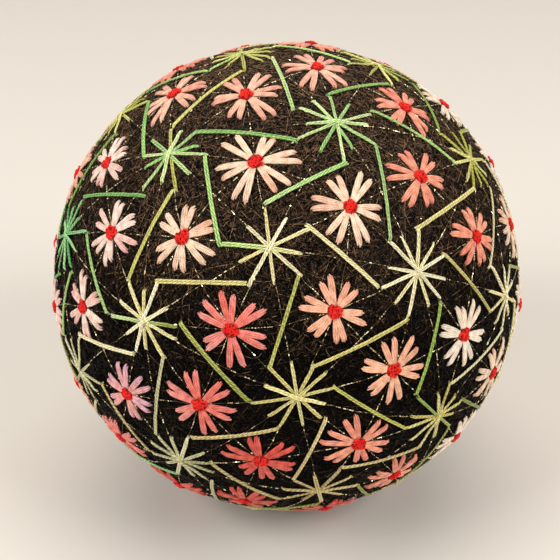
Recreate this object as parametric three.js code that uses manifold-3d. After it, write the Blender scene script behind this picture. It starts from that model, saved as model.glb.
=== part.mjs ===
// Temari ball: a ball of wound thread, embroidered all over with stars, the bent stems that link
// them, and a flower in every field between three stars. Millimetres, +Z up. The origin is the
// middle of the small flat spot on which the ball rests, and the ball faces -Y.
import * as THREE from "three";
import { mergeVertices } from "three/addons/utils/BufferGeometryUtils.js";
import Module from "manifold-3d";

// The wound ball: its radius, how far the winding swells and dips, and its flat spot.
const BALL_RADIUS = 50;
const WINDING_SWELL = 0.25;
const REST_SPOT_RADIUS = 9;

// The laid stitches: a doubled thread, as wide and as proud as it lies.
const THREAD_WIDTH = 1.05;
const THREAD_HEIGHT = 0.65;

// A stem: the usual angle, in degrees, at which it crosses the line between its two stars.
const STEM_SLANT = 42;

// A star: long stitches that cross in a small peak. Linked arms run into stems, free arms end.
// The shoulder is a share of a free arm's length, and the sway is in degrees.
const STAR = { linkedArm: 7.8, freeArm: 6.5, peak: 0.95, shoulder: 0.84, uneven: 0.13, sway: 3.5 };

// A flower: six pairs of petals round a knot. Notch and ridge are shares of a petal's reach,
// and the splits are degrees from the middle of a pair.
const FLOWER = { reach: 6.9, edgeGap: 0.45, height: 0.7, notch: 0.6, notchHeight: 0.2, ridge: 0.74,
  tipSplit: 13.5, ridgeSplit: 10.4, uneven: 0.09, knotRadius: 1.3, knotHeight: 1.25 };

// Flowers beside a five-armed centre sit a little off it: the weight of that centre in their place.
const FIVEFOLD_PULL = 0.85;

// Where the pattern lies: the fivefold star at the front, and the bearing of one of its neighbours.
const FRONT_STAR = { azimuth: -4.2, elevation: 35.7, spin: 66.3 };

const THREAD_COLOUR = 0x17130f;

const UP = new THREE.Vector3(0, 0, 1);
const radians = THREE.MathUtils.degToRad;

// Hand unevenness: a number from -1 to 1 that depends only on the place and on which size it sways.
const SCATTER = new THREE.Vector3(127.1, 311.7, 74.7);
const SALT_STEP = 7.3;

function hand(direction, salt) {
  return Math.sin(direction.dot(SCATTER) + SALT_STEP * salt);
}

// The winding's radius in a direction: a few broad swells on a round ball.
function groundRadius({ x, y, z }) {
  const swells = Math.sin(3 * x + 1) * Math.cos(2 * y) + Math.sin(4 * z + 2 * y) * Math.cos(3 * x);
  return BALL_RADIUS + (WINDING_SWELL * swells) / 2;
}

// The direction reached from one place by going some way towards another, turned left by an angle.
function stepFrom(place, target, distance, turn = 0) {
  const axis = place.clone().cross(target).normalize();
  return place.clone().applyAxisAngle(axis, distance / BALL_RADIUS).applyAxisAngle(place, turn);
}

// The left turn, seen from outside, that takes the way from a place to one target to another's.
function bearing(place, first, second) {
  const from = first.clone().projectOnPlane(place);
  const to = second.clone().projectOnPlane(place);
  const turn = Math.atan2(place.dot(from.clone().cross(to)), from.dot(to));
  return turn < 0 ? turn + 2 * Math.PI : turn;
}

function middle(...places) {
  const sum = new THREE.Vector3();
  places.forEach((place) => sum.add(place));
  return sum.normalize();
}

// The turn that brings a star and its neighbour to the front star's place and spin.
function frontTurn(star, neighbour) {
  const { azimuth, elevation, spin } = FRONT_STAR;
  const level = new THREE.Vector3(0, -1, 0).applyAxisAngle(UP, radians(azimuth));
  const out = level.addScaledVector(UP, Math.tan(radians(elevation))).normalize();
  const right = UP.clone().cross(out).normalize();
  const basis = (normal, along) => new THREE.Matrix4().makeBasis(normal, along, normal.clone().cross(along));
  const before = basis(star, neighbour.clone().projectOnPlane(star).normalize());
  return basis(out, right.applyAxisAngle(out, radians(spin))).multiply(before.transpose());
}

// The division of the ball: the corners and faces of an icosahedron whose edges are halved are
// the stars and the fields. Each field names its three stars, counter-clockwise from outside.
function divideBall() {
  const halved = new THREE.IcosahedronGeometry(1, 1);
  halved.deleteAttribute("normal");
  halved.deleteAttribute("uv");
  const net = mergeVertices(halved);
  const corner = net.getAttribute("position");
  const stars = [];
  for (let i = 0; i < corner.count; i += 1) stars.push(new THREE.Vector3().fromBufferAttribute(corner, i));
  const fields = [];
  for (let i = 0; i < net.index.count; i += 3) fields.push({ stars: [...net.index.array.slice(i, i + 3)] });

  const linksOf = (star) => fields.filter((field) => field.stars.includes(star)).length;
  const fivefold = stars.map((_, star) => linksOf(star) === 5);
  const front = fivefold.indexOf(true);
  const neighbour = fields.find((field) => field.stars.includes(front)).stars.find((star) => star !== front);
  const turn = frontTurn(stars[front], stars[neighbour]);
  stars.forEach((star) => star.applyMatrix4(turn).normalize());
  const pull = (star) => stars[star].clone().multiplyScalar(fivefold[star] ? FIVEFOLD_PULL : 1);
  for (const field of fields) field.flower = middle(...field.stars.map(pull));
  return { stars, fields };
}

// The skin of the ball: points with a height above the winding, and the facets between them.
class Skin {
  points = [];
  facets = [];
  shared = new Map();

  point(direction, height = 0) {
    this.points.push(direction.clone().multiplyScalar(groundRadius(direction) + height));
    return this.points.length - 1;
  }

  // The direction in which a point lies from the ball's middle.
  way(point) {
    return this.points[point].clone().normalize();
  }

  // A set of points that two fields share is made once.
  once(name, make) {
    if (!this.shared.has(name)) this.shared.set(name, make());
    return this.shared.get(name);
  }

  facet(a, b, c) {
    const [p, q, r] = [a, b, c].map((i) => this.points[i]);
    const outwards = p.dot(q.clone().cross(r)) > 0;
    this.facets.push(a, outwards ? b : c, outwards ? c : b);
  }

  quad(a, b, c, d) {
    this.facet(a, b, c);
    this.facet(a, c, d);
  }

  // Fills bare ground inside a loop of points, round a second loop, seen flat from a centre.
  ground(centre, loop, hole = []) {
    const across = UP.clone().cross(centre).normalize();
    const up = centre.clone().cross(across);
    const flat = (i) => {
      const depth = this.points[i].dot(centre);
      return new THREE.Vector2(this.points[i].dot(across) / depth, this.points[i].dot(up) / depth);
    };
    const corners = [...loop, ...hole];
    const holes = hole.length ? [hole.map(flat)] : [];
    for (const [a, b, c] of THREE.ShapeUtils.triangulateShape(loop.map(flat), holes)) {
      this.facet(corners[a], corners[b], corners[c]);
    }
  }

  geometry() {
    const geometry = new THREE.BufferGeometry().setFromPoints(this.points);
    return geometry.setIndex(this.facets);
  }
}

// A free arm of a star, on the line to a neighbouring star.
function freeArm(skin, star, neighbour) {
  const nominal = stepFrom(star, neighbour, STAR.freeArm);
  const length = STAR.freeArm * (1 + STAR.uneven * hand(nominal, 1));
  const turn = radians(STAR.sway) * hand(nominal, 2);
  const spread = Math.atan2(THREAD_WIDTH / 2, length * STAR.shoulder);
  const at = (share, aside) => stepFrom(star, neighbour, length * share, turn + aside);
  return {
    way: at(1, 0),
    tip: skin.point(at(1, 0)),
    ridge: skin.point(at(STAR.shoulder, 0), THREAD_HEIGHT),
    left: skin.point(at(STAR.shoulder, spread)),
    right: skin.point(at(STAR.shoulder, -spread)),
  };
}

// A stem's crossing of the line between two stars, with its foot on the side of each of them.
function stemMiddle(skin, star, neighbour) {
  const crossing = middle(star, neighbour);
  const halfFoot = THREAD_WIDTH / 2 / Math.sin(radians(STEM_SLANT));
  return {
    way: crossing,
    top: skin.point(crossing, THREAD_HEIGHT),
    near: skin.point(stepFrom(crossing, star, halfFoot)),
    far: skin.point(stepFrom(crossing, neighbour, halfFoot)),
  };
}

// An elbow, where a linked arm of a star turns into its stem beside a flower.
function elbow(skin, star, flower, crossing) {
  const nominal = stepFrom(star, flower, STAR.linkedArm);
  const length = STAR.linkedArm * (1 + STAR.uneven * hand(nominal, 1));
  const way = stepFrom(star, flower, length, radians(STAR.sway) * hand(nominal, 2));
  const halfBend = bearing(way, star, crossing) / 2;
  const reach = THREAD_WIDTH / 2 / Math.sin(halfBend);
  return {
    way,
    top: skin.point(way, THREAD_HEIGHT),
    inner: skin.point(stepFrom(way, star, reach, halfBend)),
    outer: skin.point(stepFrom(way, star, reach, halfBend + Math.PI)),
  };
}

// The valley between two neighbouring arms of a star.
function valley(skin, star, right, left) {
  const half = bearing(star, right, left) / 2;
  return skin.point(stepFrom(star, right, THREAD_WIDTH / 2 / Math.sin(half), half));
}

// The half stem, arm flanks and bare pocket at one corner of a field.
function sewCorner(skin, hub, { next, previous, linked, crossing, nearValley, farValley }) {
  skin.facet(hub, next.ridge, next.left);
  skin.facet(hub, next.left, nearValley);
  skin.facet(next.ridge, next.tip, next.left);
  skin.facet(hub, previous.ridge, previous.right);
  skin.facet(hub, previous.right, farValley);
  skin.facet(previous.ridge, previous.tip, previous.right);
  skin.quad(hub, nearValley, linked.inner, linked.top);
  skin.quad(hub, linked.top, linked.outer, farValley);
  skin.quad(linked.top, linked.inner, crossing.near, crossing.top);
  skin.quad(linked.top, crossing.top, crossing.far, linked.outer);
  const pocket = [nearValley, next.left, next.tip, crossing.near, linked.inner];
  skin.ground(linked.way, pocket);
}

// How far a petal that points at a place can reach before it meets an edge of its field.
function roomTowards(flower, place, edges) {
  const along = place.clone().projectOnPlane(flower).normalize();
  const rooms = edges.map(([start, end]) => {
    const wall = start.clone().cross(end).normalize();
    const angle = Math.atan2(Math.abs(flower.dot(wall)), -along.dot(wall) * Math.sign(flower.dot(wall)));
    const meeting = flower.clone().multiplyScalar(Math.cos(angle)).addScaledVector(along, Math.sin(angle));
    const between = start.clone().cross(meeting).dot(wall) > 0 && meeting.cross(end).dot(wall) > 0;
    return between ? angle * BALL_RADIUS : Infinity;
  });
  return Math.min(...rooms);
}

// One petal's tip and ridge, on one side of the middle of its pair.
function petal(skin, flower, toward, turn, side, edges) {
  const nominal = stepFrom(flower, toward, FLOWER.reach, turn + side * radians(FLOWER.tipSplit));
  const swing = FLOWER.uneven * (hand(flower, 3) + hand(nominal, 4));
  const room = roomTowards(flower, nominal, edges) - FLOWER.edgeGap;
  const reach = Math.min(FLOWER.reach * (1 + swing), room);
  return {
    reach,
    tip: skin.point(stepFrom(flower, nominal, reach)),
    ridge: skin.point(
      stepFrom(flower, toward, reach * FLOWER.ridge, turn + side * radians(FLOWER.ridgeSplit)),
      FLOWER.height,
    ),
  };
}

// A flower: a pair of petals between each two marked lines, round a raised knot. Returns its rim.
function sewFlower(skin, flower, lines, edges) {
  const angles = [...lines.map((line) => bearing(flower, lines[0], line)), 2 * Math.PI];
  const knot = skin.point(flower, FLOWER.knotHeight);
  const ring = lines.map((_, k) => skin.point(stepFrom(flower, lines[0], FLOWER.knotRadius, angles[k])));
  const rim = [];
  lines.forEach((_, k) => {
    const turn = (angles[k] + angles[k + 1]) / 2;
    const [root, nextRoot] = [ring[k], ring[(k + 1) % ring.length]];
    const [right, left] = [-1, 1].map((side) => petal(skin, flower, lines[0], turn, side, edges));
    const notchReach = Math.min(right.reach, left.reach) * FLOWER.notch;
    const notch = skin.point(stepFrom(flower, lines[0], notchReach, turn), FLOWER.notchHeight);
    skin.facet(knot, root, nextRoot);
    skin.facet(root, right.tip, right.ridge);
    skin.facet(right.tip, notch, right.ridge);
    skin.facet(notch, left.tip, left.ridge);
    skin.facet(left.tip, nextRoot, left.ridge);
    skin.facet(root, right.ridge, notch);
    skin.facet(notch, left.ridge, nextRoot);
    skin.facet(root, notch, nextRoot);
    rim.push(root, right.tip, notch, left.tip);
  });
  return rim;
}

// Sews one field: its three star corners, its flower and the bare winding round them.
function sewField(skin, stars, field) {
  const { flower } = field;
  const corners = field.stars.map((star, k) => {
    const [nextStar, previousStar] = [field.stars[(k + 1) % 3], field.stars[(k + 2) % 3]];
    const [here, there] = [stars[star], stars[nextStar]];
    const arm = (other) => skin.once(`arm ${star} ${other}`, () => freeArm(skin, here, stars[other]));
    const stem = skin.once(`stem ${[star, nextStar].sort()}`, () => stemMiddle(skin, here, there));
    const linked = elbow(skin, here, flower, stem.way);
    const [next, previous] = [arm(nextStar), arm(previousStar)];
    return {
      next,
      previous,
      linked,
      crossing: orient(skin, stem, here),
      nearValley: valley(skin, here, next.way, linked.way),
      farValley: valley(skin, here, linked.way, previous.way),
      hub: skin.once(`hub ${star}`, () => skin.point(here, STAR.peak)),
    };
  });
  corners.forEach((corner) => sewCorner(skin, corner.hub, corner));
  const lines = corners.flatMap(({ crossing }, k) => [stars[field.stars[k]], crossing.way]);
  const edges = corners.flatMap(({ linked, crossing }, k) => {
    const ends = [linked.outer, crossing.far, corners[(k + 1) % 3].previous.tip];
    const [bend, foot, tip] = ends.map((point) => skin.way(point));
    return [[bend, foot], [foot, tip]];
  });
  const rim = sewFlower(skin, flower, lines, edges);
  const border = corners.flatMap((corner, k) => {
    const after = corners[(k + 1) % 3];
    const arm = after.previous;
    return [corner.linked.outer, corner.crossing.far, arm.tip, arm.right, after.farValley];
  });
  skin.ground(flower, border, rim);
}

// A stem's crossing as one of its two stars sees it: near and far change places.
function orient(skin, stem, star) {
  const reach = (point) => skin.way(point).distanceTo(star);
  const facing = reach(stem.near) < reach(stem.far);
  return facing ? stem : { ...stem, near: stem.far, far: stem.near };
}

const wasm = await Module();
wasm.setup();

function toSolid(geometry) {
  const vertProperties = new Float32Array(geometry.getAttribute("position").array);
  const triVerts = new Uint32Array(geometry.index.array);
  return new wasm.Manifold(new wasm.Mesh({ numProp: 3, vertProperties, triVerts }));
}

function toGeometry(solid) {
  const { vertProperties, triVerts } = solid.getMesh();
  const geometry = new THREE.BufferGeometry();
  geometry.setAttribute("position", new THREE.BufferAttribute(vertProperties, 3));
  geometry.setIndex(new THREE.BufferAttribute(triVerts, 1));
  return geometry;
}

// The whole ball, stood on its flat spot.
function temariBall() {
  const { stars, fields } = divideBall();
  const skin = new Skin();
  fields.forEach((field) => sewField(skin, stars, field));
  const centreHeight = Math.sqrt(BALL_RADIUS ** 2 - REST_SPOT_RADIUS ** 2);
  const ball = skin.geometry().translate(0, 0, centreHeight);

  const slab = new THREE.BoxGeometry(BALL_RADIUS, BALL_RADIUS, BALL_RADIUS).translate(0, 0, -BALL_RADIUS / 2);
  slab.deleteAttribute("normal");
  slab.deleteAttribute("uv");
  return toGeometry(toSolid(ball).subtract(toSolid(mergeVertices(slab))));
}

const thread = new THREE.MeshStandardMaterial({ color: THREAD_COLOUR, roughness: 0.8, metalness: 0 });
const ball = new THREE.Mesh(temariBall(), thread);
ball.name = "temari_ball";

const part = new THREE.Group();
part.add(ball);
export default part;
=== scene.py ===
"""A temari ball: black thread wound over a round core, gold marking threads, and stars, bent stems
and flowers sewn over them. Every stitch is laid as its own strands where the ball's pattern puts it.
Sizes are in millimetres and degrees, and lay() turns them into the frame's metres."""
import math

import bmesh
import bpy
import numpy as np
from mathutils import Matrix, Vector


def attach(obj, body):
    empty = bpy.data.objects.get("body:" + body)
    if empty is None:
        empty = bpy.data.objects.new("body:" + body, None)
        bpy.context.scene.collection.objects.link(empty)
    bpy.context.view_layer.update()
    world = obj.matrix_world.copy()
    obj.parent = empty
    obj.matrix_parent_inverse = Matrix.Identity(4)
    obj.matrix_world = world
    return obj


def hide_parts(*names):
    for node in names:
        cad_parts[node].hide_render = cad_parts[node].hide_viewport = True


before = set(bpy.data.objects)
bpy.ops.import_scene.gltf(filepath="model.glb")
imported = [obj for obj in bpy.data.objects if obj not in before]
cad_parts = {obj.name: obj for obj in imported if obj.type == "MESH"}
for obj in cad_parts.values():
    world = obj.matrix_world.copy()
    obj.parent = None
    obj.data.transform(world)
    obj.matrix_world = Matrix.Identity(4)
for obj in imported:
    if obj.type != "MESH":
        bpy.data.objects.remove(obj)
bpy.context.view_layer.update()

MM = 0.001
FULL_TURN = 2 * math.pi

# The wound ball, as in the solid: radius, swell of the winding, radius of the flat spot.
BALL_RADIUS = 50.0
WINDING_SWELL = 0.25
REST_SPOT_RADIUS = 9.0
CENTRE_HEIGHT = math.sqrt(BALL_RADIUS ** 2 - REST_SPOT_RADIUS ** 2)

# How far the deep layers of the winding lie under its surface.
CORE_DEPTH = 0.22

# Hand unevenness, as in the solid: how it scatters over the ball, and from one size to another.
SCATTER = (127.1, 311.7, 74.7)
SALT_STEP = 7.3

# The pattern's place, as in the solid: the fivefold star at the front, and the bearing of one of its
# neighbours. Flowers beside a fivefold star sit a little off it: the weight of that star in their place.
FRONT_STAR = {"azimuth": -4.2, "elevation": 35.7, "spin": 66.3}
FIVEFOLD_PULL = 0.85

# Stars, as in the solid: linked arms run into stems, free arms end. Uneven is a share of an arm.
STAR = {"linked_arm": 7.8, "free_arm": 6.5, "uneven": 0.13, "sway": 3.5}

# Flowers: how far a petal reaches, its gap to the stems, how far the petals of a pair part from their
# middle, how uneven they are as a share of the reach, and the knot's radius.
FLOWER = {"reach": 6.9, "edge_gap": 0.2, "split": (7.0, 11.5), "uneven": 0.09, "knot_radius": 1.6}

# The room beside a stem's line that petals leave free.
STEM_ROOM = 0.8

# Strand radii: doubled pearl cotton, petal floss, knot cotton, marking thread and loose fibres.
COTTON_RADIUS = 0.205
FLOSS_RADIUS = 0.24
KNOT_RADIUS = 0.27
GOLD_RADIUS = 0.06
FIBRE_RADIUS = 0.045

# Points along each path: as few as its curve allows, because there are thousands of strands.
STAR_POINTS = 17
STEM_POINTS = 18
PETAL_POINTS = 8
COIL_POINTS = 20
LOOP_POINTS = 6
TURN_POINTS = 48

# How many: turns in each of the two layers of wrapping, and loose fibres.
WRAP_TURNS = 640
LOOSE_FIBRES = 420

# Doubled cotton: the thickness of a stitch and of its slubs, as shares of the radius, how far a strand
# strays aside and up, its tone, how mottled it is, and how far apart the two lie, in radii.
COTTON = {"thickness": (0.74, 1.04), "slubs": (0.94, 1.04), "aside": 0.025, "up": 0.015,
          "tone": (0.84, 1.12), "mottle": 0.07, "apart": 0.98}

# A star's stitches: how far each is drawn to the middle, as a share, its height, how much each layer
# adds and how far from the middle, how blunt its ends are, the length over which its strands part, how
# pale the lowest is, what the layers above add, and how uneven that is.
STAR_STITCH = {"drawn": 0.65, "height": 0.18, "layer": 0.13, "mound": 1.9, "blunt": (0.1, 1.0), "part": 3.5,
               "pale": 0.25, "paler": 0.65, "uneven": 0.25}

# A stem: its height, how soon it dives in at its ends, how far these stray, and the share they run over.
STEM = {"height": 0.22, "dive": 0.6, "stray": 0.45, "over": 0.01}

# A petal's strands: where they start, how much shorter the outer two are, their spacing in radii, their
# height at the tip and what it gains towards the middle, and how uneven their thickness and tone are.
PETAL = {"start": 0.6, "short": 0.34, "spacing": 1.55, "height": 0.16, "slope": 0.14,
         "thickness": (0.93, 1.05), "tone": (0.84, 1.06)}

# Pairs of petals: how far one strays in its turn, in radians, and in length, as a share, the mean and
# spread of its blush, the most of it, how far each petal strays from it, and the mean and spread of what
# a petal's tip adds to it.
PAIR = {"turn": 0.05, "length": 0.06, "blush": (0.15, 0.32), "most_blush": 0.9, "stray": 0.05,
        "tip_blush": (0.5, 0.3)}

# A knot: its coil's turns and height, how unround it is, how its middle rises, and its loops: how many,
# how far out, how large and thick, their height, how high they arch and how far that strays.
KNOT = {"coil_turns": 2.4, "coil_height": 0.38, "squash": (0.9, 1.12), "dome": 0.22, "loops": 11,
        "out": 1.1, "loop": (0.24, 0.42), "thickness": (0.72, 0.92), "height": 0.5, "arch": 0.18,
        "stray": 0.05}

# Gold marking threads: their height, the least over the floor, how far they stray, and a step along them.
MARKING = {"height": 0.15, "clearance": 0.2, "stray": 0.07, "step": 1.6}

# Glints on the marking threads: spacing, the share of places that have one, length, and the smallest and
# largest facet, as shares of that length.
GLINT = {"spacing": 0.55, "share": 0.5, "length": 0.5,
         "smallest": (0.2, 0.2, 0.3), "largest": (0.48, 0.48, 1.2)}

# A turn of wrapping thread: how far it leans, sways in two bends and wavers in finer ones, as shares of the
# ball's radius, its height, and how far it weaves up and down.
TURN = {"lean": 0.05, "sway": 0.02, "waver": 0.005, "height": (-0.16, -0.06), "weave": 0.06}

# A loose fibre: its steps and how many, how far it bends at each, in radians, and how unevenly, its height,
# how far it can rise, and the least over the floor.
FIBRE = {"step": 0.75, "steps": (6, 13), "bend": 0.25, "uneven": 0.12, "height": 0.08, "rise": 0.25,
         "clearance": 0.05}

# The wrapping thread's shades of black, from dense turns to dusty ones that catch the light.
WRAP_SHADES = (
    # colour, share of the turns, strand radius
    ("#050404", 0.26, 0.10), ("#0d0b09", 0.24, 0.10), ("#251a12", 0.22, 0.09),
    ("#5a4432", 0.19, 0.06), ("#8a6f52", 0.09, 0.045),
)

# The camera: how far up it stands, its distance in ball radii, its lens and its shift.
CAMERA = {"elevation": 30.0, "distance": 4.87, "lens": 71.1, "shift": (-0.0115, -0.0065)}

# The floor, in metres: how far it lies flat, and the radius at which it then sweeps up.
FLOOR = {"flat": 1.5, "bend": 1.0}


def linear(hex_colour):
    """An sRGB hex colour as linear red, green, blue and alpha."""
    channels = np.array([int(hex_colour[i:i + 2], 16) / 255 for i in (1, 3, 5)])
    low, high = channels / 12.92, ((channels + 0.055) / 1.055) ** 2.4
    return np.append(np.where(channels <= 0.04045, low, high), 1.0)


# Directions on the ball.

def unit(vectors):
    """Vectors brought to a length of one."""
    return vectors / np.linalg.norm(vectors, axis=-1, keepdims=True)


def turned(vector, axis, angle):
    """A vector turned left about a unit axis, by an angle in radians."""
    along = axis * np.dot(axis, vector)
    return along + (vector - along) * math.cos(angle) + np.cross(axis, vector) * math.sin(angle)


def step_from(place, target, distance, turn=0.0):
    """The direction reached from a place by going some way towards another, turned left."""
    axis = unit(np.cross(place, target))
    return turned(turned(place, axis, distance / BALL_RADIUS), place, turn)


def bearing(place, first, second):
    """The left turn at a place from the way to one target to the way to another."""
    flat_first = first - place * np.dot(place, first)
    flat_second = second - place * np.dot(place, second)
    turn = math.atan2(np.dot(place, np.cross(flat_first, flat_second)), np.dot(flat_first, flat_second))
    return turn % FULL_TURN


def arc(start, end, shares):
    """Directions at shares of the way along the great circle from one place to another."""
    angle = math.acos(np.clip(np.dot(start, end), -1, 1))
    shares = np.asarray(shares)[:, None]
    return (np.sin((1 - shares) * angle) * start + np.sin(shares * angle) * end) / math.sin(angle)


def compass(azimuth, elevation):
    """The direction of an azimuth, counted from the front towards +X, and an elevation."""
    azimuth, elevation = math.radians(azimuth), math.radians(elevation)
    level = np.array([math.sin(azimuth), -math.cos(azimuth), 0.0]) * math.cos(elevation)
    return level + np.array([0.0, 0.0, math.sin(elevation)])


def hand(direction, salt):
    """Hand unevenness, from -1 to 1, that depends only on the place and on which size it sways."""
    return math.sin(np.dot(direction, SCATTER) + SALT_STEP * salt)


def ground_radius(directions):
    """The winding's radius in each direction: a few broad swells on a round ball."""
    x, y, z = np.moveaxis(directions, -1, 0)
    swells = np.sin(3 * x + 1) * np.cos(2 * y) + np.sin(4 * z + 2 * y) * np.cos(3 * x)
    return BALL_RADIUS + WINDING_SWELL * swells / 2


def lay(directions, heights, clearance=0.0):
    """Points in metres at heights above the winding, pressed flat where the ball rests."""
    radius = ground_radius(directions) + heights
    points = directions * radius[..., None] + np.array([0.0, 0.0, CENTRE_HEIGHT])
    points[..., 2] = np.maximum(points[..., 2], clearance)
    return points * MM


# The pattern's layout.

def front_turn(star, neighbour):
    """The matrix that brings a star and its neighbour to the front star's place and spin."""
    out = compass(FRONT_STAR["azimuth"], FRONT_STAR["elevation"])
    right = unit(np.cross((0.0, 0.0, 1.0), out))
    side = turned(right, out, math.radians(FRONT_STAR["spin"]))
    before_side = unit(neighbour - star * np.dot(star, neighbour))
    after = np.stack((out, side, np.cross(out, side)), axis=1)
    before = np.stack((star, before_side, np.cross(star, before_side)), axis=1)
    return after @ before.T


def divide_ball():
    """The stars, and the fields with their three stars and their flower: the corners and faces of
    an icosahedron whose edges are halved."""
    net = bmesh.new()
    bmesh.ops.create_icosphere(net, subdivisions=2, radius=1.0)
    stars = unit(np.array([vert.co for vert in net.verts]))
    corners = [[vert.index for vert in face.verts] for face in net.faces]
    links = [len(vert.link_faces) for vert in net.verts]
    front = links.index(5)
    neighbour = next(c for face in corners if front in face for c in face if c != front)
    net.free()
    stars = stars @ front_turn(stars[front], stars[neighbour]).T
    pulls = np.where(np.array(links) == 5, FIVEFOLD_PULL, 1.0)[:, None] * stars
    fields = [{"stars": face, "flower": unit(pulls[face].sum(axis=0))} for face in corners]
    return stars, fields


def sides(field):
    """The sides of a field: each of its stars with the next one round."""
    return list(zip(field["stars"], field["stars"][1:] + field["stars"][:1]))


def arm_tip(star, target, length):
    """Where an arm of a star ends: near its line, a little long or short, a little aside."""
    nominal = step_from(star, target, length)
    reach = length * (1 + STAR["uneven"] * hand(nominal, 1))
    return step_from(star, target, reach, math.radians(STAR["sway"]) * hand(nominal, 2))


def plan_arms(stars, fields):
    """For each star its arms in order round it: the tip of each, and the dyes of its stem where the same
    length of cotton runs on into it. Each field learns its elbows, where linked arms meet stems."""
    arms = [[] for _ in stars]
    for field in fields:
        field["elbows"] = {}
        for star, after in sides(field):
            tip = arm_tip(stars[star], stars[after], STAR["free_arm"])
            elbow = arm_tip(stars[star], field["flower"], STAR["linked_arm"])
            runs_on = zone_at(elbow, RUN_ON, RUN_ON_REACH)
            shades = stem_shades(stars[star], stars[after]) if runs_on else None
            arms[star] += [{"tip": tip, "run_on": None}, {"tip": elbow, "run_on": shades}]
            field["elbows"][star] = elbow
    for here, spokes in zip(stars, arms):
        first = spokes[0]["tip"]
        spokes.sort(key=lambda arm: bearing(here, first, arm["tip"]))
    return arms


# Dyes. The cotton is dyed in changing shades, so each part of the ball has a run of its own: two dyes
# that a stitch blends. The charts give the shades zone by zone, and a place takes the nearest zone.

FLOWER_SHADES = {
    "ivory": ("#fdf1e0", "#f5e0ca"),
    "cream": ("#fae4cb", "#f2bfa4"),
    "blush": ("#fde8db", "#f0b6ae"),
    "shell": ("#f8cab2", "#f0a892"),
    "peach": ("#fcc6a6", "#f2b094"),
    "salmon": ("#f8ab8f", "#ea8f7a"),
    "coral": ("#f07a6b", "#f0a69e"),
    "rose": ("#e25042", "#e0705f"),
    "lilac": ("#f2aa9c", "#e6b4c2"),
}

FLOWER_ZONES = (
    # azimuth, elevation, shade, petal length
    (43, 10, "ivory", 6.3), (56, -5, "cream", 6.8), (74, 24, "cream", 6.6), (88, 36, "ivory", 6.5),
    (76, 0, "ivory", 6.5), (50, -25, "ivory", 6.4), (95, 50, "ivory", 6.8),
    (-11, 55, "cream", 7.6), (19, 43, "cream", 7.4), (-28, 35, "cream", 6.6),
    (-48, 31, "blush", 6.2), (-65, 41, "blush", 6.0), (-51, 12, "blush", 6.4), (-72, 2, "blush", 6.4),
    (10, 22, "peach", 6.1), (23, 8, "peach", 6.8), (15, -10, "salmon", 6.9), (-24, 71, "shell", 7.2),
    (65, 59, "salmon", 6.8), (45, 46, "salmon", 6.3), (50, 81, "shell", 6.9), (29, -29, "salmon", 6.5),
    (-68, 63, "shell", 7.4), (-90, 30, "shell", 6.5), (-118, 59, "salmon", 6.8), (159, 73, "salmon", 6.8),
    (-13, 19, "coral", 7.1), (-19, 2, "coral", 6.6), (-6, -13, "rose", 6.6), (55, 28, "salmon", 6.5),
    (-12, -35, "rose", 6.4), (12, -43, "rose", 6.6), (-36, -39, "rose", 6.8),
    (-36, -3, "lilac", 6.5), (-46, -21, "coral", 6.3),
)

STAR_SHADES = {
    "emerald": ("#5fae64", "#b2e6a2"),
    "green": ("#72b25b", "#ccea98"),
    "leaf": ("#7ba446", "#b0cc66"),
    "mint": ("#90c973", "#e5f6b8"),
    "lime": ("#babb52", "#ecea96"),
    "olive": ("#8e9c47", "#c6c870"),
    "straw": ("#ccc16a", "#f8f0b0"),
    "cream": ("#eadf9e", "#fff9d8"),
    "khaki": ("#beab70", "#ecdca6"),
    "stone": ("#b2b184", "#e8e4bc"),
}

# The khaki and stone shades of the lower zones are partly painted shade, where less light falls on the
# ball.
STAR_ZONES = (
    # azimuth, elevation, shade
    (-4, 36, "cream"), (32, 27, "cream"), (23, 63, "mint"), (-43, 51, "mint"), (-32, 16, "cream"),
    (2, 5, "straw"), (72, 41, "lime"), (61, 11, "cream"), (36, -9, "straw"), (8, -27, "khaki"),
    (-25, -19, "stone"), (-55, -6, "stone"), (-70, 22, "emerald"), (-112, 79, "lime"),
    (104, 68, "lime"), (-93, 48, "lime"), (41, -45, "khaki"), (71, -19, "straw"), (-61, -37, "emerald"),
)

# The khaki and stone shades of the lower zones are partly painted shade, where less light falls on the
# ball.
STEM_ZONES = (
    # azimuth, elevation, shade
    (130, 83, "green"), (-97, 64, "green"), (1, 79, "mint"), (58, 70, "green"), (-57, 68, "lime"),
    (83, 55, "leaf"), (-69, 52, "green"), (96, 42, "olive"), (-16, 61, "green"), (54, 54, "green"),
    (-80, 36, "leaf"), (6, 50, "mint"), (-59, 37, "green"), (29, 45, "mint"), (84, 26, "cream"),
    (-21, 45, "green"), (50, 36, "straw"), (66, 26, "cream"), (-37, 34, "lime"), (15, 33, "cream"),
    (77, 11, "olive"), (-51, 20, "mint"), (47, 20, "straw"), (-20, 27, "straw"), (-62, 8, "green"),
    (-1, 20, "olive"), (16, 16, "straw"), (66, -4, "cream"), (-71, -8, "olive"), (-44, 5, "cream"),
    (34, 9, "leaf"), (48, 1, "cream"), (-15, 11, "olive"), (-29, -1, "stone"), (53, -15, "olive"),
    (-58, -22, "stone"), (19, -2, "lime"), (-41, -13, "khaki"), (-11, -7, "khaki"), (5, -11, "khaki"),
    (-42, -29, "emerald"), (38, -27, "olive"), (23, -18, "khaki"), (-9, -24, "khaki"),
    (23, -37, "olive"), (-21, -37, "stone"), (-1, -41, "olive"),
)

# How near a place has to be to a zone, in degrees, to take its shade.
ZONE_REACH = 16

# Arms sewn with the cotton of the stem that they run on into: the azimuth and elevation of each tip, and
# how near a tip has to be, in degrees.
RUN_ON = ((-17, 36), (-43, 14), (-24, 17), (29, -1), (42, -16), (-52, 57), (-34, 44), (-85, 72), (101, 59))
RUN_ON_REACH = 3

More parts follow.
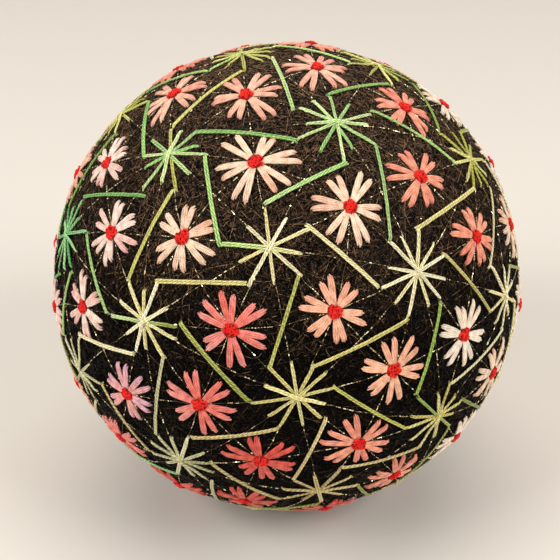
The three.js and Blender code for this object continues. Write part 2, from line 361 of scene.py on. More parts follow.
# Past the charts, shades drift over the ball: the pace and the start of the drift along each axis, how
# far each axis carries it, and how uneven it is, as shares of the list of shades.
DRIFT = {"pace": (2.3, 2.9, 3.7), "start": (0.4, 2.1, 4.4), "swing": 0.22, "uneven": 0.1}


def zone_at(place, zones, reach=ZONE_REACH):
    """The row of a chart for a place, or none on the side of the ball that has no rows."""
    nearness = [np.dot(place, compass(row[0], row[1])) for row in zones]
    best = int(np.argmax(nearness))
    return zones[best] if nearness[best] > math.cos(math.radians(reach)) else None


def shade_at(place, zones, shades):
    """The two dyes of a place: its zone's, or past the chart those that the drift brings, so that
    neighbouring places take neighbouring shades."""
    row = zone_at(place, zones)
    if row:
        name = row[2]
    else:
        waves = np.sin(place * DRIFT["pace"] + DRIFT["start"])
        drift = 0.5 + DRIFT["swing"] * np.sum(waves) + DRIFT["uneven"] * hand(place, 5)
        name = list(shades)[int(np.clip(drift, 0, 0.999) * len(shades))]
    return [linear(code) for code in shades[name]]


def stem_shades(star, other):
    """The two dyes of the stem between two stars."""
    return shade_at(unit(star + other), STEM_ZONES, STAR_SHADES)


# Skeins: paths that one Geometry Nodes tree turns into strands.

UNDYED = (1.0, 1.0, 1.0, 1.0)


class Skein:
    """Open or closed paths in metres, with a strand radius and a dye at each point."""

    def __init__(self):
        self.points, self.radii, self.dyes, self.edges = [], [], [], []
        self.count = 0

    def add(self, points, radii, dyes=UNDYED, closed=False):
        number = len(points)
        index = self.count + np.arange(number)
        links = np.stack((index, np.roll(index, -1)), axis=1)
        self.points.append(points)
        self.radii.append(np.broadcast_to(radii, number) * MM)
        self.dyes.append(np.broadcast_to(dyes, (number, 4)))
        self.edges.append(links if closed else links[:-1])
        self.count += number

    def mesh(self, name):
        made = bpy.data.meshes.new(name)
        points, edges = np.concatenate(self.points), np.concatenate(self.edges)
        made.vertices.add(len(points))
        made.vertices.foreach_set("co", points.astype(np.float32).ravel())
        made.edges.add(len(edges))
        made.edges.foreach_set("vertices", edges.astype(np.int32).ravel())
        radius = made.attributes.new("strand_radius", "FLOAT", "POINT")
        radius.data.foreach_set("value", np.concatenate(self.radii).astype(np.float32))
        dye = made.attributes.new("dye", "FLOAT_COLOR", "POINT")
        dye.data.foreach_set("color", np.concatenate(self.dyes).astype(np.float32).ravel())
        made.update()
        return made


def add_node(tree, kind, inputs=None, **settings):
    """Adds a node with its settings, its inputs set to values or linked to other nodes' outputs, and gives
    its own outputs."""
    made = tree.nodes.new(kind)
    for name, value in settings.items():
        setattr(made, name, value)
    for socket, value in (inputs or {}).items():
        if isinstance(value, bpy.types.NodeSocket):
            tree.links.new(value, made.inputs[socket])
        else:
            made.inputs[socket].default_value = value
    return made.outputs


def reckon(tree, operation, *values):
    """The result of a math node on values or outputs."""
    return add_node(tree, "ShaderNodeMath", dict(enumerate(values)), operation=operation)[0]


def scaled(tree, vector, factor):
    """A colour or a vector times a factor."""
    return add_node(tree, "ShaderNodeVectorMath", {0: vector, "Scale": factor}, operation="SCALE")[0]


def remap(tree, value, before, after=(0.0, 1.0)):
    """A value brought from one range to another and held inside it."""
    ranges = {"From Min": before[0], "From Max": before[1], "To Min": after[0], "To Max": after[1]}
    return add_node(tree, "ShaderNodeMapRange", {"Value": value, **ranges})[0]


def strand_value(tree, name, output="Fac"):
    """What the points of strands keep under a name."""
    return add_node(tree, "ShaderNodeAttribute", attribute_name=name)[output]


def new_tree(name, sizes):
    """An empty Geometry Nodes tree with paths and named sizes going in, and a mesh coming out."""
    tree = bpy.data.node_groups.new(name, "GeometryNodeTree")
    tree.interface.new_socket("Paths", in_out="INPUT", socket_type="NodeSocketGeometry")
    for label, kind in sizes.items():
        tree.interface.new_socket(label, in_out="INPUT", socket_type=kind)
    tree.interface.new_socket("Strands", in_out="OUTPUT", socket_type="NodeSocketGeometry")
    return tree, add_node(tree, "NodeGroupInput")


def close_tree(tree, geometry, material):
    """Realizes what a tree has made and gives it its material."""
    whole = add_node(tree, "GeometryNodeRealizeInstances", {"Geometry": geometry})[0]
    dressed = add_node(tree, "GeometryNodeSetMaterial", {"Geometry": whole, "Material": material})
    add_node(tree, "NodeGroupOutput", {"Strands": dressed[0]})
    return tree


def laid_strand_tree():
    """Sweeps a round section along each path. Points keep how far along and how far round they are,
    so that a material can draw the ply twist."""
    tree, given = new_tree("laid_strand", {"Sides": "NodeSocketInt", "Material": "NodeSocketMaterial"})
    path = add_node(tree, "GeometryNodeMeshToCurve", {"Mesh": given["Paths"]})[0]
    length = add_node(tree, "GeometryNodeSplineParameter")["Length"]
    path = add_node(tree, "GeometryNodeStoreNamedAttribute",
                    {"Geometry": path, "Name": "along", "Value": length})[0]
    section = add_node(tree, "GeometryNodeCurvePrimitiveCircle",
                       {"Resolution": given["Sides"], "Radius": 1.0})["Curve"]
    spot = add_node(tree, "GeometryNodeInputPosition")[0]
    section = add_node(tree, "GeometryNodeStoreNamedAttribute",
                       {"Geometry": section, "Name": "round", "Value": spot},
                       data_type="FLOAT_VECTOR")[0]
    radius = add_node(tree, "GeometryNodeInputNamedAttribute", {"Name": "strand_radius"})[0]
    swept = add_node(tree, "GeometryNodeCurveToMesh",
                     {"Curve": path, "Profile Curve": section, "Scale": radius, "Fill Caps": True})[0]
    smooth = add_node(tree, "GeometryNodeSetShadeSmooth", {"Geometry": swept})[0]
    return close_tree(tree, smooth, given["Material"])


def glint_tree():
    """Sets small facets of foil along each path, turned and sized at random."""
    tree, given = new_tree("foil_glints", {
        "Spacing": "NodeSocketFloat", "Share": "NodeSocketFloat", "Length": "NodeSocketFloat",
        "Seed": "NodeSocketInt", "Material": "NodeSocketMaterial"})
    path = add_node(tree, "GeometryNodeMeshToCurve", {"Mesh": given["Paths"]})[0]
    spots = add_node(tree, "GeometryNodeCurveToPoints",
                     {"Curve": path, "Length": given["Spacing"]}, mode="LENGTH")
    foil = add_node(tree, "GeometryNodeMeshCylinder", {"Vertices": 3, "Radius": 0.5, "Depth": 1.0})[0]
    angle = add_node(tree, "FunctionNodeRandomValue", {2: 0.0, 3: FULL_TURN, "Seed": given["Seed"]},
                     data_type="FLOAT")[1]
    roll = add_node(tree, "FunctionNodeAxisAngleToRotation", {"Axis": (0, 0, 1), "Angle": angle})[0]
    rotation = add_node(tree, "FunctionNodeRotateRotation",
                        {"Rotation": spots["Rotation"], "Rotate By": roll},
                        rotation_space="LOCAL")[0]
    size = add_node(tree, "FunctionNodeRandomValue",
                    {0: GLINT["smallest"], 1: GLINT["largest"], "Seed": given["Seed"]},
                    data_type="FLOAT_VECTOR")[0]
    scale = scaled(tree, size, given["Length"])
    chosen = add_node(tree, "FunctionNodeRandomValue",
                      {"Probability": given["Share"], "Seed": given["Seed"]}, data_type="BOOLEAN")[3]
    placed = add_node(tree, "GeometryNodeInstanceOnPoints",
                      {"Points": spots[0], "Selection": chosen, "Instance": foil,
                       "Rotation": rotation, "Scale": scale})
    return close_tree(tree, placed[0], given["Material"])


def set_out(name, data):
    """A new object in the scene, at the origin."""
    made = bpy.data.objects.new(name, data)
    bpy.context.scene.collection.objects.link(made)
    return made


def set_out_net(name, net):
    """A new object in the scene, with the smooth mesh of a finished net."""
    mesh = bpy.data.meshes.new(name)
    net.to_mesh(mesh)
    net.free()
    mesh.polygons.foreach_set("use_smooth", [True] * len(mesh.polygons))
    return set_out(name, mesh)


def spin(skein, name, tree, slot, **inputs):
    """Makes a skein into a plain mesh piece that rides with the ball."""
    piece = set_out(name, skein.mesh(name + "_paths"))
    modifier = piece.modifiers.new(tree.name, "NODES")
    modifier.node_group = tree
    for socket in tree.interface.items_tree:
        if socket.in_out == "INPUT" and socket.name in inputs:
            modifier[socket.identifier] = inputs[socket.name]
    depsgraph = bpy.context.evaluated_depsgraph_get()
    made = bpy.data.meshes.new_from_object(
        piece.evaluated_get(depsgraph), preserve_all_data_layers=True, depsgraph=depsgraph)
    piece.modifiers.clear()
    made.materials.clear()
    made.materials.append(inputs["Material"])
    made.polygons.foreach_set("material_index", np.zeros(len(made.polygons), dtype=np.int32))
    made.name = name
    piece.data = made
    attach(piece, "root")
    return piece


# Laying stitches.

def tuck(distances, height, reach=0.8, dive=0.35):
    """Heights along a stitch that comes out of the winding and goes back in at both ends."""
    ends = np.minimum(distances, distances[-1] - distances)
    rise = np.clip(ends / reach, 0, 1)
    return height - (height + dive) * (1 - rise) ** 2


def lengths(directions):
    """How far along a path each of its points is, in millimetres."""
    steps = np.linalg.norm(np.diff(directions, axis=0), axis=1) * BALL_RADIUS
    return np.concatenate(([0.0], np.cumsum(steps)))


def aside(directions, offsets):
    """A path moved to its left by offsets in millimetres."""
    ways = np.gradient(directions, axis=0)
    left = unit(np.cross(directions, ways))
    return unit(directions + left * (np.asarray(offsets) / BALL_RADIUS)[:, None])


def close_ended(count):
    """Shares from 0 to 1 that lie closer together towards both ends."""
    return (1 - np.cos(np.linspace(0, math.pi, count))) / 2


def blend_dyes(first, second, shares):
    """Dyes at shares of the way from one dye to another."""
    shares = np.asarray(shares)[:, None]
    return first * (1 - shares) + second * shares


def sew_double(skein, directions, heights, spread, dyes, rng):
    """Two strands of cotton side by side, thicker in one stitch than in another."""
    count = len(directions)
    radius = COTTON_RADIUS * rng.uniform(*COTTON["thickness"])
    for side in (-1, 1):
        path = aside(directions, side * spread * radius + rng.normal(0, COTTON["aside"], count))
        radii = radius * rng.uniform(*COTTON["slubs"], count)
        strand_heights = heights + rng.normal(0, COTTON["up"], count)
        tone = rng.uniform(*COTTON["tone"]) * (1 + rng.normal(0, COTTON["mottle"], count))
        skein.add(lay(path, strand_heights, radius), radii, np.clip(dyes * tone[:, None], 0, 1))


def sew_stars(stars, arms):
    """Long stitches from arm to opposite arm of each star, stacked in a mound over its middle. Upper
    stitches are paler, and each changes from one arm's dye to the other's as it crosses the middle."""
    rng = np.random.default_rng(11)
    skein = Skein()
    middle = STAR_POINTS // 2
    drawn = (1 - np.abs(np.linspace(-1, 1, STAR_POINTS))) * STAR_STITCH["drawn"]
    change = np.clip(np.linspace(-0.6, 1.6, STAR_POINTS), 0, 1)
    for here, spokes in zip(stars, arms):
        half = len(spokes) // 2
        own_shades = shade_at(here, STAR_ZONES, STAR_SHADES)
        for layer, k in enumerate(rng.permutation(half)):
            pair = (spokes[k], spokes[k + half])
            chord = arc(pair[0]["tip"], pair[1]["tip"], close_ended(STAR_POINTS))
            path = unit(chord + drawn[:, None] * (here - chord[middle]))
            along = lengths(path)
            from_middle = (along - along[middle]) / STAR_STITCH["mound"]
            mound = STAR_STITCH["layer"] * layer * np.exp(-from_middle ** 2)
            blunt = rng.uniform(*STAR_STITCH["blunt"], 2)
            taper = np.minimum(blunt[0] + along / STAR_STITCH["part"],
                               blunt[1] + (along[-1] - along) / STAR_STITCH["part"])
            paleness = STAR_STITCH["pale"] + STAR_STITCH["paler"] * layer / half
            ends = []
            for arm in pair:
                shades = arm["run_on"] or own_shades
                tone = np.clip(paleness + rng.normal(0, STAR_STITCH["uneven"]), 0, 1)
                ends.append(blend_dyes(*shades, [tone])[0])
            sew_double(skein, path, tuck(along, STAR_STITCH["height"]) + mound,
                       np.clip(taper, 0, COTTON["apart"]), blend_dyes(*ends, change), rng)
    return skein


def sew_stems(stars, fields):
    """Straight double strands, each from an elbow of one star to an elbow of the next."""
    rng = np.random.default_rng(12)
    skein = Skein()
    shares = close_ended(STEM_POINTS) * (1 + 2 * STEM["over"]) - STEM["over"]
    spread = np.full(STEM_POINTS, COTTON["apart"])
    elbows = {(star, after): field["elbows"][star] for field in fields for star, after in sides(field)}
    for (star, other), elbow in elbows.items():
        if star > other:
            continue
        near, far = (unit(end + rng.normal(0, STEM["stray"], 3) / BALL_RADIUS)
                     for end in (elbow, elbows[other, star]))
        path = arc(near, far, shares)
        heights = tuck(lengths(path), STEM["height"], STEM["dive"])
        shades = stem_shades(stars[star], stars[other])
        ends = [blend_dyes(*shades, [tone])[0] for tone in rng.uniform(0.0, 1.0, 2)]
        sew_double(skein, path, heights, spread, blend_dyes(*ends, np.linspace(0, 1, STEM_POINTS)), rng)
    return skein


def room_towards(flower, place, edges):
    """How far a petal that points at a place can reach before it meets an edge of its field."""
    along = unit(place - flower * np.dot(flower, place))
    rooms = [math.inf]
    for start, end in edges:
        wall = unit(np.cross(start, end))
        facing = np.dot(flower, wall)
        angle = math.atan2(abs(facing), -np.dot(along, wall) * np.sign(facing))
        meeting = flower * math.cos(angle) + along * math.sin(angle)
        if np.dot(np.cross(start, meeting), wall) > 0 and np.dot(np.cross(meeting, end), wall) > 0:
            rooms.append(angle * BALL_RADIUS)
    return min(rooms)


def field_edges(stars, field):
    """The lines that a flower's petals stay inside: beside each stem from its elbow to its crossing, and
    from there to the free arm that points at it."""
    edges = []
    for star, after in sides(field):
        elbow = step_from(field["elbows"][star], field["flower"], STEM_ROOM)
        crossing = step_from(unit(stars[star] + stars[after]), stars[after], STEM_ROOM)
        tip = step_from(stars[after], stars[star], STAR["free_arm"])
        edges += [(elbow, crossing), (crossing, tip)]
    return edges


def sew_petal(skein, flower, nominal, reach, lift, base, tip, blush, rng):
    """Three strands of floss laid side by side from the flower's middle to a rounded tip."""
    for strand in (-1, 0, 1):
        end = reach - PETAL["short"] * abs(strand) * rng.uniform(0.3, 1.2)
        out = PETAL["start"] + (end - PETAL["start"]) * np.sin(np.linspace(0, math.pi / 2, PETAL_POINTS))
        path = np.array([step_from(flower, nominal, distance) for distance in out])
        share = out / end
        # The strands fan out from the middle and draw together at the tip.
        fan = np.interp(share, (0.1, 0.55, 0.85, 1.0), (0.4, 1.0, 1.0, 0.76))
        # They crown along the petal, one petal of a pair over the other, dive in at the tip, and are
        # pressed down under the knot.
        crown = 0.05 * (1 - abs(strand)) + 0.08 * lift
        dip = 0.5 * np.clip((share - 0.92) / 0.08, 0, 1) ** 2
        pressed = 0.35 * np.clip((1.5 - out) / 0.8, 0, 1)
        heights = PETAL["height"] + PETAL["slope"] * (1 - share) + crown - dip - pressed
        dyes = blend_dyes(base, tip, np.clip(blush[0] + blush[1] * share ** 2.5, 0, 1))
        radii = FLOSS_RADIUS * rng.uniform(*PETAL["thickness"]) * np.interp(share, (0.8, 1.0), (1.0, 0.72))
        skein.add(lay(aside(path, strand * FLOSS_RADIUS * PETAL["spacing"] * fan), heights, FLOSS_RADIUS),
                  radii, np.clip(dyes * rng.uniform(*PETAL["tone"]), 0, 1))


def sew_flower(skein, stars, field, rng):
    """Six pairs of petals that part towards their tips, one pair between each two of the marking lines
    through the flower."""
    flower = field["flower"]
    lines = [way for star, after in sides(field) for way in (stars[star], unit(stars[star] + stars[after]))]
    turns = [0.0] + [bearing(flower, lines[0], line) for line in lines[1:]] + [FULL_TURN]
    edges = field_edges(stars, field)
    base, tip = shade_at(flower, FLOWER_ZONES, FLOWER_SHADES)
    row = zone_at(flower, FLOWER_ZONES)
    length = row[3] if row else FLOWER["reach"] * (1 + FLOWER["uneven"] * hand(flower, 3))
    for before, after in zip(turns, turns[1:]):
        middle = (before + after) / 2 + rng.normal(0, PAIR["turn"])
        split = math.radians(rng.uniform(*FLOWER["split"]))
        pair_blush = np.clip(rng.normal(*PAIR["blush"]), 0, PAIR["most_blush"])
        pair_length = length * (1 + rng.normal(0, PAIR["length"]))
        for side, lift in zip((-1, 1), rng.permutation(2)):
            nominal = step_from(flower, lines[0], length, middle + side * split)
            room = room_towards(flower, nominal, edges) - FLOWER["edge_gap"]
            reach = min(pair_length * (1 + FLOWER["uneven"] * hand(nominal, 4)), room)
            blush = (pair_blush + rng.normal(0, PAIR["stray"]),
                     np.clip(rng.normal(*PAIR["tip_blush"]), 0, 1))
            sew_petal(skein, flower, nominal, reach, lift, base, tip, blush, rng)


def sew_flowers(stars, fields):
    """All the flowers, in two skeins."""
    rng = np.random.default_rng(13)
    skeins = [Skein(), Skein()]
    for number, field in enumerate(fields):
        sew_flower(skeins[number % 2], stars, field, rng)
    return skeins


def spots_near(place, axes, x, y):
    """Directions at distances from a place along two axes on the ball, in millimetres."""
    return unit(place + np.stack((x, y), axis=1) @ axes / BALL_RADIUS)


def tie_knots(fields):
    """Red cotton over the middle of each flower: a flat coil, and small loops tied over it, each a golden
    angle round the knot from the last."""
    rng = np.random.default_rng(14)
    skein = Skein()
    # The coil under the loops is dyed a deeper red than they are, as painted shade in the gaps between the
    # loops.
    deep, red, bright = linear("#a80b06"), linear("#e4120a"), linear("#fa3220")
    golden_angle = 2.4
    share = np.linspace(0, 1, COIL_POINTS)
    angle = share * KNOT["coil_turns"] * FULL_TURN
    radius = (FLOWER["knot_radius"] - KNOT_RADIUS) * (1 - share) ** 0.8
    arch = np.sin(np.linspace(0.12, 0.88, LOOP_POINTS) * math.pi)
    for field in fields:
        flower = field["flower"]
        across = unit(np.cross(flower, rng.normal(0, 1, 3)))
        axes = np.stack((across, np.cross(flower, across))) * rng.uniform(*KNOT["squash"], 2)[:, None]
        coil = spots_near(flower, axes, radius * np.cos(angle), radius * np.sin(angle))
        skein.add(lay(coil, KNOT["coil_height"] + KNOT["dome"] * share, KNOT_RADIUS), KNOT_RADIUS, deep)
        for loop in range(KNOT["loops"]):
            bend = np.linspace(-0.75, 0.75, LOOP_POINTS) * math.pi + rng.uniform(0, 6.3)
            size = rng.uniform(*KNOT["loop"])
            out = KNOT["out"] * math.sqrt((loop + 0.4) / KNOT["loops"])
            way = loop * golden_angle + rng.normal(0, 0.25)
            path = spots_near(flower, axes, out * math.cos(way) + size * np.cos(bend),
                              out * math.sin(way) + size * np.sin(bend))
            heights = KNOT["height"] + KNOT["arch"] * arch + KNOT["dome"] * (1 - out)
            heights += rng.normal(0, KNOT["stray"], LOOP_POINTS)
            dye = blend_dyes(red, bright, [rng.uniform(0, 1)])[0]
            skein.add(lay(path, heights, KNOT_RADIUS), KNOT_RADIUS * rng.uniform(*KNOT["thickness"]), dye)
    return skein


def draw_marking(stars, fields):
    """Gold threads along every line between stars, and through every flower."""
    rng = np.random.default_rng(15)
    skein = Skein()
    lines = {}
    for field in fields:
        for (star, after), last in zip(sides(field), field["stars"][2:] + field["stars"][:2]):
            lines[min(star, after), max(star, after)] = (stars[star], stars[after])
            lines[star, "flower", after, last] = (stars[star], field["flower"])
            lines[star, "crossing", after, last] = (field["flower"], unit(stars[after] + stars[last]))
    for start, end in lines.values():
        count = max(4, int(math.acos(np.dot(start, end)) * BALL_RADIUS / MARKING["step"]))
        path = aside(arc(start, end, np.linspace(0, 1, count)), rng.normal(0, MARKING["stray"], count))
        skein.add(lay(path, np.full(count, MARKING["height"]), MARKING["clearance"]), GOLD_RADIUS)
    return skein


def ripple(angle, waves, rng):
    """Waves round a turn of thread, from any start."""
    return np.sin(angle * waves + rng.uniform(0, 6))


def wind_turns(turns, seed):
    """Turns of black thread round the ball, each near a great circle, in any direction. They lean and
    waver from side to side, and weave over and under one another."""
    rng = np.random.default_rng(seed)
    skein = Skein()
    codes, shares, radii = zip(*WRAP_SHADES)
    for _ in range(turns):
        axis = unit(rng.normal(0, 1, 3))
        across = unit(np.cross(axis, rng.normal(0, 1, 3)))
        angle = np.linspace(0, FULL_TURN, TURN_POINTS, endpoint=False) + rng.uniform(0, 1)
        lean = rng.normal(0, TURN["lean"]) + TURN["sway"] * ripple(angle, 2, rng)
        lean += TURN["waver"] * sum(ripple(angle, waves, rng) for waves in (7, 12))
        ring = np.cos(angle)[:, None] * across + np.sin(angle)[:, None] * np.cross(axis, across)
        path = unit(ring + lean[:, None] * axis)
        weave = TURN["weave"] * sum(ripple(angle, waves, rng) for waves in (5, 9, 14))
        heights = rng.uniform(*TURN["height"]) + weave
        pick = rng.choice(len(codes), p=shares)
        skein.add(lay(path, heights, radii[pick]), radii[pick], linear(codes[pick]), closed=True)
    return skein


def scatter_fibres():
    """Short loose ends and loops of the wrapping thread that lie over the winding."""
    rng = np.random.default_rng(16)
    skein = Skein()
    tints = [linear(code) for code in ("#2a211b", "#574a3e", "#85786a")]
    for _ in range(LOOSE_FIBRES):
        place = unit(rng.normal(0, 1, 3))
        way = unit(np.cross(place, rng.normal(0, 1, 3)))
        bend, steps = rng.normal(0, FIBRE["bend"]), rng.integers(*FIBRE["steps"])
        path = []
        for _ in range(steps):
            path.append(place)
            place = unit(place + way * FIBRE["step"] / BALL_RADIUS)
            level = way - place * np.dot(way, place)
            way = unit(turned(level, place, bend + rng.normal(0, FIBRE["uneven"])))
        rise = rng.uniform(0.0, FIBRE["rise"]) * np.sin(np.linspace(0, math.pi, steps))
        skein.add(lay(np.array(path), FIBRE["height"] + rise, FIBRE["clearance"]), FIBRE_RADIUS,
                  tints[rng.integers(len(tints))])
    return skein


def wound_core():
    """The wound ball under its outer turns: a fine round mesh with the winding's swells."""
    net = bmesh.new()
    bmesh.ops.create_icosphere(net, subdivisions=5, radius=1.0)
    directions = unit(np.array([vert.co for vert in net.verts]))
    for vert, point in zip(net.verts, lay(directions, np.full(len(directions), -CORE_DEPTH))):
        vert.co = point
    return set_out_net("wound_core", net)


# Materials.

def new_material(name, **finish):
    """A material whose shader has these finishes all over, with its tree and its shader."""
    material = bpy.data.materials.new(name)
    material.use_nodes = True
    shader = material.node_tree.nodes["Principled BSDF"]
    for socket, value in finish.items():
        shader.inputs[socket.replace("_", " ")].default_value = value
    return material, material.node_tree, shader


def dyed_cotton(name, twist_mm, ply_depth, painted_groove_shade, crown, roughness, sheen):
    """Dyed, twisted cotton: a soft sheen, and a slanting ply whose hollows are painted darker and fuller in
    colour, as painted shade, and whose crowns are painted paler, as painted highlight. Twist is the length
    of one turn of the ply."""
    material, tree, shader = new_material(name, Roughness=roughness, Specular_IOR_Level=0.3,
                                          Sheen_Weight=sheen, Sheen_Roughness=0.4)
    dye = strand_value(tree, "dye", "Color")
    spot = add_node(tree, "ShaderNodeSeparateXYZ", {"Vector": strand_value(tree, "round", "Vector")})
    turn = reckon(tree, "MULTIPLY", strand_value(tree, "along"), FULL_TURN / (twist_mm * MM))
    first = reckon(tree, "MULTIPLY", reckon(tree, "SINE", turn), spot["X"])
    ply = reckon(tree, "MULTIPLY_ADD", reckon(tree, "COSINE", turn), spot["Y"], first)
    ridge = reckon(tree, "MULTIPLY", ply, ply)
    # Single fibres are far finer: they are drawn this coarse so that they show.
    place = add_node(tree, "ShaderNodeTexCoord")["Object"]
    fibre = add_node(tree, "ShaderNodeTexNoise", {"Vector": place, "Scale": 1 / (0.3 * MM), "Detail": 2.0})
    fibre_depth = 1.1
    fleece = reckon(tree, "MULTIPLY", fibre["Fac"], fibre_depth)
    height = reckon(tree, "MULTIPLY_ADD", ridge, ply_depth, fleece)
    bump = add_node(tree, "ShaderNodeBump", {"Height": height, "Distance": 0.07 * MM, "Strength": 0.9})
    # Painted shade and highlight: with the height of ply and fibre, the colour goes from the dye darkened
    # and deepened in the hollows to the dye brightened on the crowns.
    light = remap(tree, height, (0.3, 0.4 + ply_depth))
    full = add_node(tree, "ShaderNodeGamma", {"Color": dye, "Gamma": 1.4})[0]
    deep, pale = scaled(tree, full, painted_groove_shade), scaled(tree, dye, crown)
    colour = add_node(tree, "ShaderNodeMix", {0: light, 4: deep, 5: pale}, data_type="VECTOR")[1]
    tree.links.new(colour, shader.inputs["Base Color"])
    tree.links.new(bump[0], shader.inputs["Normal"])
    return material


def wrapping_thread():
    """Fine spun polyester thread: black, hardly glossy, each turn its own shade of dusty black. Towards the
    top its colour is painted paler and warmer, partly as lint and partly as painted sheen of the light from
    above, so its turns show there as fine warm lines."""
    material, tree, shader = new_material("spun_black_thread", Roughness=0.42, Specular_IOR_Level=0.06,
                                          Sheen_Weight=0.01, Sheen_Roughness=0.3)
    dye, along = strand_value(tree, "dye", "Color"), strand_value(tree, "along")
    place = add_node(tree, "ShaderNodeTexCoord")["Object"]
    upward = add_node(tree, "ShaderNodeSeparateXYZ", {"Vector": place})["Z"]
    # Dust and lint lie along each turn in lengths of a millimetre or two, so turns show as broken lines.
    dust, grain = (
        add_node(tree, "ShaderNodeTexNoise", {"W": along, "Scale": 1 / (length_mm * MM), "Detail": 2.0},
                 noise_dimensions="1D")["Fac"]
        for length_mm in (1.8, 1.1))
    shade = remap(tree, dust, (0.44, 0.6), (0.0, 2.1))
    # Partly wear and partly painted sheen of the light from above: turns are made brighter the higher they
    # lie, up to five times at the top.
    painted_sheen_and_wear = remap(tree, upward, (60 * MM, 99 * MM), (0.36, 5.2))
    sheened_and_worn = scaled(tree, dye, reckon(tree, "MULTIPLY", shade, painted_sheen_and_wear))
    # However much painted sheen and wear brighten it, no turn is paler than faded thread.
    thread = add_node(tree, "ShaderNodeVectorMath", {0: sheened_and_worn, 1: tuple(linear("#94775a")[:3])},
                      operation="MINIMUM")[0]
    lint = remap(tree, grain, (0.5, 0.64))
    # The share of lint rises towards the top as well, partly as painted sheen of the light from above.
    rise = remap(tree, upward, (62 * MM, 99 * MM), (0.0, 0.42))
    share = reckon(tree, "MULTIPLY", lint, rise)
    colour = add_node(tree, "ShaderNodeMix", {0: share, 4: thread, 5: tuple(linear("#8c6d52")[:3])},
                      data_type="VECTOR")[1]
    tree.links.new(colour, shader.inputs["Base Color"])
    return material


def packed_winding():
    """The deep layers of the winding: dull black thread in patches of parallel turns."""
    material, tree, shader = new_material("packed_black_winding", Roughness=0.8, Specular_IOR_Level=0.05)
    place = add_node(tree, "ShaderNodeTexCoord")["Object"]
    ridges = []
    # Turns of such thread lie about 0.2 mm apart: they are drawn coarser so that they show.
    for patch_mm, pitch_mm in ((5.0, 0.34), (8.0, 0.42)):
        patch = add_node(tree, "ShaderNodeTexVoronoi", {"Vector": place, "Scale": 1 / (patch_mm * MM)})
        slant = add_node(tree, "ShaderNodeVectorMath", {0: patch["Color"], 1: (0.5, 0.5, 0.5)},
                         operation="SUBTRACT")[0]
        way = add_node(tree, "ShaderNodeVectorMath", {0: slant}, operation="NORMALIZE")[0]
        across = add_node(tree, "ShaderNodeVectorMath", {0: place, 1: way},
                          operation="DOT_PRODUCT")["Value"]
        turn = reckon(tree, "MULTIPLY", across, FULL_TURN / (pitch_mm * MM))
        ridges.append(reckon(tree, "SINE", turn))
    height = reckon(tree, "MAXIMUM", *ridges)
    # Painted shade: the colour is darker in the hollows between the turns and paler on their crowns.
    shade = remap(tree, height, (-1.0, 1.0), (0.001, 0.008))
    bump = add_node(tree, "ShaderNodeBump", {"Height": height, "Distance": 0.12 * MM})
    tree.links.new(shade, shader.inputs["Base Color"])
    tree.links.new(bump[0], shader.inputs["Normal"])
    return material


def gold_foil(name, colour, metallic, roughness):
    """Metallised film slit into thread: warm gold, painted brighter and darker in patches about a
    millimetre long, as painted glints where the film turns over."""
    material, tree, shader = new_material(name, Metallic=metallic, Roughness=roughness)
    place = add_node(tree, "ShaderNodeTexCoord")["Object"]
    twist = add_node(tree, "ShaderNodeTexNoise", {"Vector": place, "Scale": 1 / (1.0 * MM), "Detail": 2.0})
    # Painted glints: the colour is made up to 1.7 times brighter in some patches and down to 0.4 times in
    # others.
    shade = remap(tree, twist["Fac"], (0.3, 0.7), (0.4, 1.7))
    painted_glint_colour = scaled(tree, tuple(linear(colour)[:3]), shade)
    tree.links.new(painted_glint_colour, shader.inputs["Base Color"])
    return material


# The stage.

def swept_floor():
    """A floor that is flat round the ball and sweeps up into a low wall far away, all round."""
    bend = np.linspace(0, math.pi / 2, 10)
    reach = np.concatenate(([0.0], FLOOR["flat"] + FLOOR["bend"] * np.sin(bend)))
    rise = np.concatenate(([0.0], FLOOR["bend"] * (1 - np.cos(bend))))
    net = bmesh.new()
    profile = [net.verts.new((x, 0.0, z)) for x, z in zip(reach, rise)]
    edges = [net.edges.new(pair) for pair in zip(profile, profile[1:])]
    bmesh.ops.spin(net, geom=profile + edges, cent=(0, 0, 0), axis=(0, 0, 1), angle=FULL_TURN, steps=64)
    bmesh.ops.remove_doubles(net, verts=net.verts, dist=0.001)
    bmesh.ops.recalc_face_normals(net, faces=net.faces)
    return set_out_net("floor", net)


def make_stage():
    """The plain pale floor, and the even light of a room."""
    floor = swept_floor()
    floor.data.materials.append(new_material("pale_floor", Base_Color=linear("#dddad5"), Roughness=0.9)[0])

    world = bpy.data.worlds.new("soft_room")
    bpy.context.scene.world = world
    world.use_nodes = True
    world.node_tree.nodes["Background"].inputs["Color"].default_value = linear("#ebebea")
    world.node_tree.nodes["Background"].inputs["Strength"].default_value = 0.19
    bpy.context.scene.view_settings.view_transform = "Standard"


def hang_light(name, light, place, power, colour):
    """Hangs a light at a place and turns it to the middle of the ball."""
    light.energy = power
    light.color = linear(colour)[:3]
    lamp = set_out(name, light)
    target = np.array([0.0, 0.0, CENTRE_HEIGHT * MM])
    lamp.location = place
    lamp.rotation_euler = Vector(target - np.array(place)).to_track_quat("-Z", "Y").to_euler()


def soft_light(name, place, size, watts, colour):
    """A square soft box."""
    light = bpy.data.lights.new(name, "AREA")
    light.size = size
    hang_light(name, light, place, watts, colour)


def high_light(name, place, spread, strength, colour):
    """A broad light from far away, which reaches the whole floor: its spread is in degrees."""
    light = bpy.data.lights.new(name, "SUN")
    light.angle = math.radians(spread)
    hang_light(name, light, place, strength, colour)


def make_camera():
    """A camera in front of the ball that looks down at its middle."""
    camera = bpy.data.cameras.new("camera")
    camera.lens, camera.sensor_width = CAMERA["lens"], 36.0
    camera.shift_x, camera.shift_y = CAMERA["shift"]
    camera.clip_start = 0.01
    stand = set_out("camera", camera)
    centre = np.array([0.0, 0.0, CENTRE_HEIGHT])
    stand.location = (centre + compass(0, CAMERA["elevation"]) * CAMERA["distance"] * BALL_RADIUS) * MM
    stand.rotation_euler = (math.radians(90 - CAMERA["elevation"]), 0.0, 0.0)
    bpy.context.scene.camera = stand


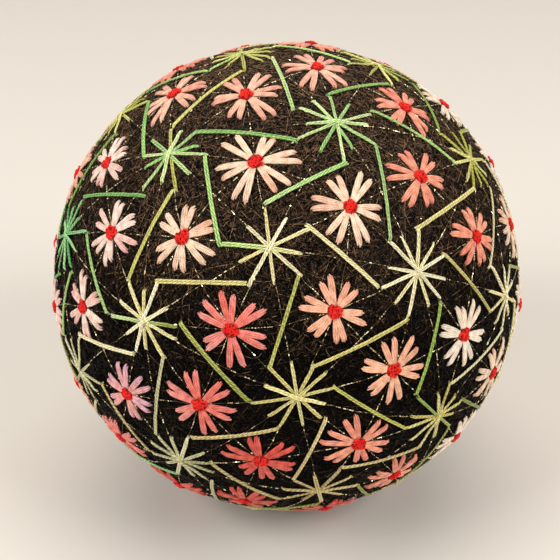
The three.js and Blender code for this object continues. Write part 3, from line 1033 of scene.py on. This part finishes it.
def dress_ball():
    """Every piece of the ball, from the core out."""
    stars, fields = divide_ball()
    arms = plan_arms(stars, fields)
    strand, glint = laid_strand_tree(), glint_tree()
    black = wrapping_thread()
    cotton = dyed_cotton("pearl_cotton", twist_mm=1.9, ply_depth=1.0, painted_groove_shade=0.46, crown=1.22,
                         roughness=0.6, sheen=0.25)
    floss = dyed_cotton("cotton_floss", twist_mm=4.4, ply_depth=0.6, painted_groove_shade=0.62, crown=1.08,
                        roughness=0.55, sheen=0.3)
    red = dyed_cotton("red_cotton", twist_mm=1.2, ply_depth=1.0, painted_groove_shade=0.6, crown=1.12,
                      roughness=0.7, sheen=0.0)

    core = wound_core()
    core.data.materials.append(packed_winding())
    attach(core, "root")
    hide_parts("temari_ball")
    for name, seed in (("wrap_turns_lower", 1), ("wrap_turns_upper", 2)):
        spin(wind_turns(WRAP_TURNS, seed), name, strand, "wrap_thread", Sides=3, Material=black)
    marking = draw_marking(stars, fields)
    spin(marking, "marking_threads", strand, "marking_thread", Sides=3,
         Material=gold_foil("slit_gold_film", "#58482e", metallic=0.8, roughness=0.5))
    # The glints' foil is pale cream and only half metal, so that it shows bright from every side: painted
    # glint on real facets.
    spin(marking, "marking_glints", glint, "marking_thread",
         Spacing=GLINT["spacing"] * MM, Share=GLINT["share"], Length=GLINT["length"] * MM, Seed=3,
         Material=gold_foil("gold_foil_painted_glint", "#ffeec0", metallic=0.45, roughness=0.25))
    spin(sew_stars(stars, arms), "star_stitches", strand, "star_thread", Sides=6, Material=cotton)
    spin(sew_stems(stars, fields), "stem_stitches", strand, "star_thread", Sides=6, Material=cotton)
    for name, skein in zip(("petals_even", "petals_odd"), sew_flowers(stars, fields)):
        spin(skein, name, strand, "flower_thread", Sides=6, Material=floss)
    spin(scatter_fibres(), "loose_fibres", strand, "wrap_thread", Sides=3, Material=black)
    spin(tie_knots(fields), "flower_knots", strand, "knot_thread", Sides=5, Material=red)


make_camera()
make_stage()
soft_light("left", place=(-0.62, -0.36, 0.60), size=0.45, watts=5.4, colour="#fffaf4")
soft_light("right", place=(0.62, -0.36, 0.60), size=0.45, watts=5.0, colour="#fffaf4")
high_light("top", place=(0.0, 0.42, 0.91), spread=60, strength=1.7, colour="#fff4e6")
dress_ball()
